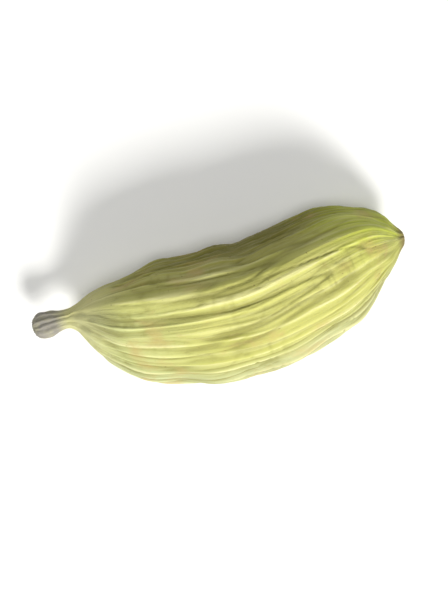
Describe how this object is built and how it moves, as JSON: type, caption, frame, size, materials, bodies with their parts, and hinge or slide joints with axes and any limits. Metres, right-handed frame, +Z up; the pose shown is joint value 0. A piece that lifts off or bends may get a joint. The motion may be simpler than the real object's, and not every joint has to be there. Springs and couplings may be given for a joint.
{
  "type": "green cardamom pod",
  "caption": "Dried green cardamom pod lying on one face: a ribbed, three-angled husk with the stump of its stalk at one end and a small beak at the other.",
  "frame": {"origin": "middle of the ground that the pod covers, at the height of the surface it rests on", "axes": "+X along the pod from the stalk to the beak, +Z up, towards the husk's upper angle; the husk bends towards -Y"},
  "size_m": [0.0162, 0.0064, 0.0056],
  "materials": {
    "pod_skin": "dry fibrous husk, papery and almost matt, olive green with straw-coloured ribs and a dark grey stalk stub"
  },
  "bodies": {
    "root": {"pod": "pod_skin"}
  },
  "joints": []
}
